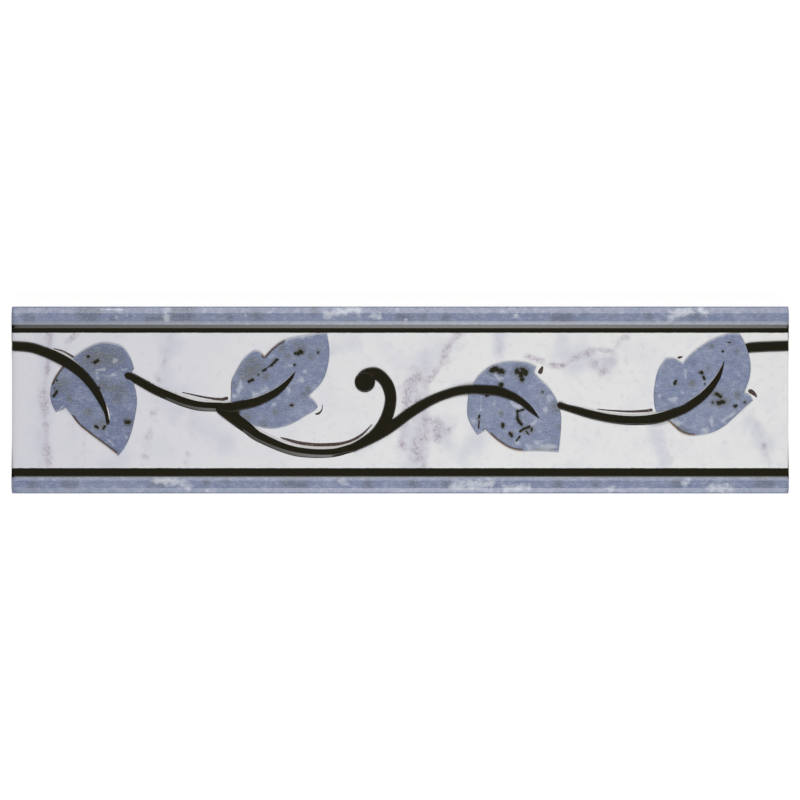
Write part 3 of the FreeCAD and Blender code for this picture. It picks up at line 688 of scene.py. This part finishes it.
def printed_stroke():
    """Thin brown-black print on the white ground: worn pale in some spots of 0.7 mm and thick in others."""
    material, tree, place = new_material("printed_stroke")
    worn = grain(tree, place, 0.7)
    pale, thick = ("#8B7F80", 0.6, (worn, 0.0, 1.1)), ("#241F1B", 0.4, (worn, 0.3, -1.0))
    finish_glaze(tree, layered(tree, "#4A3D3A", pale, thick))
    return material


def rim_height(distance, rim):
    """Share of the rim's rise at a distance from the tile's long edge: the bevel's straight climb, the level
    crown and the slope's straight fall, rounded over where they meet."""
    bevel, crown, slope, foot = rim
    softness = 0.12
    climb = smooth_lesser(distance / bevel, 1.0, softness)
    fall = (bevel + crown + slope - distance) / slope
    top = smooth_lesser(climb, fall, softness)
    return -smooth_lesser(-top, 0.0, foot)


def face_level(x, y):
    """Height of the slab's face: the field, plus the rims, less the rounds at the edges and the ends."""
    height = rim_height(HALF_WIDTH - y, UPPER_RIM) + rim_height(HALF_WIDTH + y, LOWER_RIM)
    edge = quarter_round(HALF_WIDTH - np.abs(y), *EDGE_ROUND)
    return size_of("field_level") + size_of("rim_rise") * height - edge - end_drop(x)


def make_slab():
    """The slab: a closed section carried along X. The section is the face's height over Y, the two sides and
    the back with its grooves, whose depth falls to nought near the ends. Its points lie closer on the rims,
    and the sections lie closer near the ends, where the face bends."""
    rim_zone, end_zone = 7.6, 3.0
    rim = np.arange(0, rim_zone, 0.19)
    field = np.linspace(-HALF_WIDTH + rim_zone, HALF_WIDTH - rim_zone, 66)
    across = np.concatenate([-HALF_WIDTH + rim, field, HALF_WIDTH - rim[::-1]])
    ends = np.array([0, 0.06, 0.15, 0.3, 0.5, 0.8, 1.2, 1.8, 2.4])
    middle = np.linspace(-HALF_LENGTH + end_zone, HALF_LENGTH - end_zone, 350)
    along = np.concatenate([-HALF_LENGTH + ends, middle, HALF_LENGTH - ends[::-1]])
    x, y = np.meshgrid(along, across, indexing="ij")
    face = np.stack([x, y, face_level(x, y)], axis=-1)

    # A groove's flanks lean in from its full width to nine tenths of it. It runs out over 0.3 mm.
    centres = (np.arange(GROOVE_COUNT) - (GROOVE_COUNT - 1) / 2) * GROOVE_PITCH
    shoulders = np.array([-0.5, -0.45, 0.45, 0.5]) * GROOVE_WIDTH
    back_y = np.concatenate([[HALF_WIDTH], (centres[::-1, None] - shoulders).ravel(), [-HALF_WIDTH]])
    cut = np.concatenate([[0], np.tile([0, 1, 1, 0], GROOVE_COUNT), [0]])
    sunk = np.clip((HALF_LENGTH - GROOVE_MARGIN - np.abs(along)) / 0.3, 0, 1)
    back = np.stack([
        np.repeat(along[:, None], len(back_y), 1),
        np.repeat(back_y[None], len(along), 0),
        GROOVE_DEPTH * sunk[:, None] * cut[None],
    ], axis=-1)
    down = np.linspace(0, 1, 8)[1:-1, None]
    far_side = face[:, -1:] * (1 - down) + back[:, :1] * down
    near_side = back[:, -1:] * (1 - down) + face[:, :1] * down
    rings = np.concatenate([face, far_side, back, near_side], axis=1)

    # A vein's strength falls off as a bell curve. Painted shade darkens the white and turns it bluer from
    # this X to the left end, where less light falls.
    left_shade_from = 64
    places = rings[..., :2].reshape(-1, 2)
    veins = [share * np.exp(-((distance_to(places, route) / half) ** 2)) for share, half, *route in VEINS]
    marks = {
        "vein": np.max(veins, axis=0),
        "net": np.clip(reach(places, NETS), -2, 1),
        "cloud": np.clip(reach(places, CLOUDS), -1, 1),
        # Painted shade, growing towards the left end.
        "painted_left_shade": np.clip((left_shade_from - places[:, 0]) / (left_shade_from + HALF_LENGTH), 0, 1) ** 1.3,
        "pale": np.ones(len(places)),
        "bloom": np.clip(reach(places, RIM_BLOOM), -1, 1),
        "ash": np.clip(reach(places, RIM_ASH), -1, 1),
    }
    attributes = {key: values.reshape(rings.shape[:2]) for key, values in marks.items()}
    keep(skin_rings("slab", rings, attributes), glazed_slab())


def make_leaf(name, leaf, material):
    """One leaf: rings that shrink from the outline to a middle point, as high as a quarter-round over the
    distance from the outline with a slight swell in the middle, then a level underside sunk in the slab. The
    rings lie closer together in the last share before the outline, where the face falls."""
    corner, stretches = leaf["outline"][-1][-1], []
    for stretch in leaf["outline"]:
        stretches.append(smooth_route([corner, *stretch], 0.3)[:-1])
        corner = stretch[-1]
    outline = np.vstack(stretches)
    middle = np.array(leaf["middle"])
    edge = 0.07
    inner = np.linspace(0, 1 - edge, 56)
    outer = 1 - edge * np.linspace(1, 0, 16)[1:] ** 1.6
    share = np.concatenate([inner, outer])[:, None, None]
    plan = middle + share * (outline - middle)
    places = plan.reshape(-1, 2)
    # Distance from the nearest point of the outline, block by block to spare memory.
    blocks = np.array_split(places, 8)
    rim = np.concatenate([np.hypot(*np.moveaxis(block[:, None] - outline, 2, 0)).min(1) for block in blocks])
    rim = rim.reshape(plan.shape[:2])
    field = size_of("field_level")
    rise = size_of("leaf_rise")
    swell, round_run, past_field, singed_reach = 0.1, 0.5, 0.05, 1.1
    top = field + rise + swell * (1 - share[..., 0] ** 2) - quarter_round(rim, round_run, rise + past_field)
    face = np.concatenate([plan, top[..., None]], axis=-1)
    foot = np.concatenate([outline, np.full((len(outline), 1), field - LEAF_DEPTH)], axis=1)
    under = np.concatenate([middle + 0.5 * (outline - middle), foot[:, 2:]], axis=1)
    rings = np.concatenate([face, foot[None], under[None]])
    sunk = rings[..., :2].reshape(-1, 2)
    shape = rings.shape[:2]
    marks = {key: leaf[key] for key in ("ink", "ash", "bloom")}
    marks["singed"] = [(singed_reach, *route) for route in leaf["singed"]]
    attributes = {key: np.clip(reach(sunk, some), -2, 1).reshape(shape) for key, some in marks.items()}
    attributes["pale"] = np.full(shape, leaf["paleness"])
    attributes["rim"] = np.vstack([rim, np.zeros((2, len(outline)))])
    along = np.roll(outline, -1, axis=0) - np.roll(outline, 1, axis=0)
    turned = np.sign(np.cross(outline[:-1] - middle, np.diff(outline, axis=0)).sum())
    attributes["upward"] = np.repeat((-turned * along[:, 0] / np.hypot(*along.T))[None], len(rings), 0)
    keep(skin_rings(name, rings, attributes), material)


def make_stem(name, stations, material):
    """One stem of the vine: a section carried along a smooth route. The section's height is the least of a
    straight lower flank, a straight upper flank and a slightly domed crest, rounded over where they meet.
    Width, flanks, rise and base level vary along the route. A blunt start is half a circle in plan."""
    step = 0.35
    route = smooth_route([(*station, *STATION_REST[len(station) - 3:]) for station in stations], step)
    place = route[:, :2]
    width, climb, bare, lower = route[:, 2:, None].swapaxes(0, 1)
    width, bare, lower = (np.clip(value, 0, None) for value in (width, bare, lower))
    if name in BLUNT_STARTS:
        before = np.clip(1 - np.arange(len(route))[:, None] * step / width[0] * 2, 0, None)
        width = width * np.sqrt(np.clip(1 - before**2, 0.02, 1))
    full = width + bare
    near = np.minimum(lower, full * 0.4)
    far = np.minimum(np.clip(bare, 0.3, None), full * 0.4)
    flank = np.array([0, 0.3, 0.6, 0.8, 0.9, 0.96, 1.0])
    crest = np.array([0.02, 0.05, 0.1, 0.2, 0.35, 0.5])
    crest = np.concatenate([crest, 1 - crest[-2::-1]])
    top = near + (full - near - far) * crest
    across = np.concatenate([near * flank, top, full - far * flank[::-1]], axis=1)
    dome = 1 + 0.1 * (1 - (across / full * 2 - 1) ** 2)
    height = smooth_lesser(np.minimum(across / near, (full - across) / far), dome, 0.06) + 0.01
    usual_width = 3.0
    rise = size_of("vine_rise") * np.clip(width / usual_width, 0, 1) ** 0.8
    base = size_of("field_level") + size_of("leaf_rise") * climb - end_drop(place[:, :1])
    offset = across - width / 2
    plan = place[:, None] + offset[..., None] * upward_of(place)[:, None]
    crest_line = np.concatenate([plan, (base + rise * height)[..., None]], axis=-1)
    foot = np.full((len(place), 2, 1), size_of("field_level") - VINE_DEPTH)
    under = np.concatenate([plan[:, [-1, 0]], foot], axis=-1)
    rings = np.concatenate([crest_line, under], axis=1)
    rings[..., 0] = np.clip(rings[..., 0], -HALF_LENGTH, HALF_LENGTH)
    printed = np.where(bare > 0.05, width / 2 - offset, 1.0)
    attributes = {"printed": np.concatenate([printed, printed[:, [-1, 0]]], axis=1)}
    keep(skin_rings(name, rings, attributes), material)


def make_curl(material):
    """The boss at the end of the curl: rings that shrink to its top. Its height is the lesser of a steep
    flank and a domed crest, rounded over where they meet."""
    radius = CURL_WIDTH / 2
    turn = np.linspace(0, 2 * math.pi, 65)[:-1]
    share = np.concatenate([np.linspace(0.02, 0.86, 20), [0.89, 0.92, 0.95, 0.975, 1.0, 1.0]])
    height = smooth_lesser((1 - share) * radius / 0.35, 1.35 - 0.3 * share**2, 0.1) + 0.01
    level = size_of("field_level") + size_of("vine_rise") * height
    level[-1] = size_of("field_level") - VINE_DEPTH
    rings = np.stack([
        CURL_MIDDLE[0] + radius * share[:, None] * np.cos(turn),
        CURL_MIDDLE[1] + radius * share[:, None] * np.sin(turn),
        np.repeat(level[:, None], len(turn), 1),
    ], axis=-1)
    keep(skin_rings("curl_boss", rings, {"printed": np.ones(rings.shape[:2])}), material)


def make_stroke(name, stations, material):
    """A stroke of print on the field: a band of flat elliptic section along a smooth route, a hair above the
    field, rounded at both ends."""
    step, end_round, lift, thickness = 0.15, 0.5, 0.02, 0.06
    route = smooth_route(stations, step)
    place = route[:, :2]
    run = np.arange(len(route)) * step
    nearest_end = np.minimum(run, run[::-1])
    half = route[:, 2] / 2 * np.sqrt(np.clip(1 - (1 - np.clip(nearest_end / end_round, 0, 1)) ** 2, 0.01, 1))
    turn = np.linspace(0, 2 * math.pi, 11)[:-1]
    plan = place[:, None] + (half[:, None] * np.cos(turn))[..., None] * upward_of(place)[:, None]
    level = size_of("field_level") + lift + thickness / 2 * np.sin(turn)[None] * np.ones((len(place), 1))
    keep(skin_rings(name, np.concatenate([plan, level[..., None]], axis=-1)), material)


class TILE_OT_slab(Operator):
    """Makes the pressed slab with its printed and glazed face."""

    bl_idname = "tile.slab"
    bl_label = "Slab"

    def execute(self, context):
        make_slab()
        return {"FINISHED"}


class TILE_OT_leaves(Operator):
    """Makes the four raised leaves."""

    bl_idname = "tile.leaves"
    bl_label = "Leaves"

    def execute(self, context):
        material = glazed_leaf()
        for name, leaf in LEAVES.items():
            make_leaf(name, leaf, material)
        return {"FINISHED"}


class TILE_OT_vine(Operator):
    """Makes the six stems of the vine and the boss that ends its curl."""

    bl_idname = "tile.vine"
    bl_label = "Vine"

    def execute(self, context):
        material = glazed_vine()
        for name, stem in STEMS.items():
            make_stem(name, stem, material)
        make_curl(material)
        return {"FINISHED"}


class TILE_OT_strokes(Operator):
    """Makes the strokes of print that lie beside the relief."""

    bl_idname = "tile.strokes"
    bl_label = "Printed strokes"

    def execute(self, context):
        material = printed_stroke()
        for name, stations in STROKES.items():
            make_stroke(name, stations, material)
        return {"FINISHED"}


class TILE_OT_stage(Operator):
    """Makes the floor, the lamps, the world and the camera that looks straight down on the tile."""

    bl_idname = "tile.stage"
    bl_label = "Stage"

    def execute(self, context):
        scene = context.scene
        scene.view_settings.view_transform = "Standard"
        make_floor(scene)
        make_world(scene)
        make_lamp(scene, "upper_softbox", bearing=47, width=0.24, radiance=3.85, evenness=0.8)
        make_lamp(scene, "lower_softbox", bearing=-45.5, width=0.36, radiance=5.12, evenness=0.24)
        make_camera(scene)
        return {"FINISHED"}


def make_floor(scene):
    """A pale floor that looks white to the camera and keeps a faint shadow. It lies a hair below the back
    and is see-through from beneath, so that the back shows. Rays that start close over it see part of its
    glow too, which lights the back softly and nothing else."""
    half, level, close_by = 3.0, -0.1 * MM, 0.8 * MM
    seen_share, close_share = 0.85, 0.5
    corners = [(-half, -half, level), (half, -half, level), (half, half, level), (-half, half, level)]
    mesh = bpy.data.meshes.new("floor")
    mesh.from_pydata(corners, [], [(0, 1, 2, 3)])
    material, tree, _ = new_material("floor")
    path = add(tree, "ShaderNodeLightPath")
    seen = path["Is Camera Ray"]
    for other in (path["Is Glossy Ray"], path["Is Transmission Ray"]):
        seen = add(tree, "ShaderNodeMath", {0: seen, 1: other}, operation="MAXIMUM")[0]
    pale = add(tree, "ShaderNodeBsdfDiffuse", {"Color": rgba("#F4F4F4")})
    glow = add(tree, "ShaderNodeEmission", {"Color": (1, 1, 1, 1), "Strength": 1.06})
    close = add(tree, "ShaderNodeMath", {0: path["Ray Length"], 1: close_by}, operation="LESS_THAN")
    under = add(tree, "ShaderNodeMath", {0: close[0], 1: close_share}, operation="MULTIPLY")
    share = add(tree, "ShaderNodeMath", {0: seen, 1: seen_share, 2: under[0]}, operation="MULTIPLY_ADD")
    above = add(tree, "ShaderNodeMixShader", {0: share[0], 1: pale[0], 2: glow[0]})
    beneath = add(tree, "ShaderNodeNewGeometry")["Backfacing"]
    clear = add(tree, "ShaderNodeBsdfTransparent")
    mixed = add(tree, "ShaderNodeMixShader", {0: beneath, 1: above[0], 2: clear[0]})
    add(tree, "ShaderNodeOutputMaterial", {"Surface": mixed[0]})
    mesh.materials.append(material)
    floor = bpy.data.objects.new("floor", mesh)
    scene.collection.objects.link(floor)


def make_world(scene):
    """A dim even sky that looks white to the camera."""
    world = bpy.data.worlds.new("studio")
    world.use_nodes = True
    tree = world.node_tree
    tree.nodes.clear()
    seen = add(tree, "ShaderNodeLightPath")["Is Camera Ray"]
    strength = add(tree, "ShaderNodeMapRange", {"Value": seen, "To Min": 0.12, "To Max": 1.0})
    glow = add(tree, "ShaderNodeBackground", {"Color": (1, 1, 1, 1), "Strength": strength[0]})
    add(tree, "ShaderNodeOutputWorld", {"Surface": glow[0]})
    scene.world = world


def make_lamp(scene, name, bearing, width, radiance, evenness):
    """A softbox beside the tile, its bearing in degrees from straight above towards +Y, so long that the
    rims' flanks mirror it from end to end. Its glow is a bell curve over an even ground of this share."""
    lamp = bpy.data.lights.new(name, "AREA")
    lamp.shape = "RECTANGLE"
    lamp.size = LAMP_LENGTH
    lamp.size_y = width
    lamp.energy = radiance * math.pi * lamp.size * lamp.size_y
    lamp.use_nodes = True
    tree = lamp.node_tree
    tree.nodes.clear()
    across = add(tree, "ShaderNodeSeparateXYZ", {0: add(tree, "ShaderNodeNewGeometry")["Parametric"]})
    from_middle = {0: across["X"], 1: 1 / GLOW_WIDTH, 2: -GLOW_MIDDLE / GLOW_WIDTH}
    off = add(tree, "ShaderNodeMath", from_middle, operation="MULTIPLY_ADD")[0]
    squared = add(tree, "ShaderNodeMath", {0: off, 1: off}, operation="MULTIPLY")[0]
    bell = add(tree, "ShaderNodeMath", {0: 1 / math.e, 1: squared}, operation="POWER")[0]
    fall = add(tree, "ShaderNodeMath", {0: bell, 1: 1 - evenness, 2: evenness}, operation="MULTIPLY_ADD")
    glow = add(tree, "ShaderNodeEmission", {"Strength": fall[0]})
    add(tree, "ShaderNodeOutputLight", {"Surface": glow[0]})
    box = bpy.data.objects.new(name, lamp)
    tilt = math.radians(bearing)
    box.location = (0, LAMP_DISTANCE * math.sin(tilt), LAMP_DISTANCE * math.cos(tilt))
    box.rotation_euler = (-tilt, 0, 0)
    scene.collection.objects.link(box)


def make_camera(scene):
    """A long lens straight above the tile, as high as makes the tile as wide as in the photograph."""
    camera = bpy.data.cameras.new("camera")
    camera.lens = LENS
    camera.sensor_width = SENSOR
    frame_width = 2 * HALF_LENGTH * MM * PHOTO_PIXELS / TILE_PIXELS
    height = size_of("field_level") * MM + frame_width * camera.lens / camera.sensor_width
    eye = bpy.data.objects.new("camera", camera)
    eye.location = (0, 0, height)
    scene.collection.objects.link(eye)
    scene.camera = eye


OPERATORS = (TILE_OT_slab, TILE_OT_leaves, TILE_OT_vine, TILE_OT_strokes, TILE_OT_stage)


class VIEW3D_PT_border_tile(Panel):
    """Sizes and colours of the tile, and what makes each of its pieces."""

    bl_label = "Border Tile"
    bl_space_type = "VIEW_3D"
    bl_region_type = "UI"
    bl_category = "Tile"

    def draw(self, context):
        for group in (context.scene.tile_sizes, context.scene.tile_colours):
            for key in group.__annotations__:
                self.layout.prop(group, key)
        for operator in OPERATORS:
            self.layout.operator(operator.bl_idname)


CLASSES = (TileSizes, TileColours, *OPERATORS, VIEW3D_PT_border_tile)


def register():
    """Registers the classes and hangs the settings on the scene."""
    for item in CLASSES:
        bpy.utils.register_class(item)
    bpy.types.Scene.tile_sizes = PointerProperty(type=TileSizes)
    bpy.types.Scene.tile_colours = PointerProperty(type=TileColours)


def unregister():
    """Takes the settings and the classes away again."""
    del bpy.types.Scene.tile_colours
    del bpy.types.Scene.tile_sizes
    for item in reversed(CLASSES):
        bpy.utils.unregister_class(item)


def main():
    """Makes the whole tile and its stage."""
    register()
    bpy.ops.tile.slab()
    bpy.ops.tile.leaves()
    bpy.ops.tile.vine()
    bpy.ops.tile.strokes()
    bpy.ops.tile.stage()


if __name__ == "__main__":
    main()
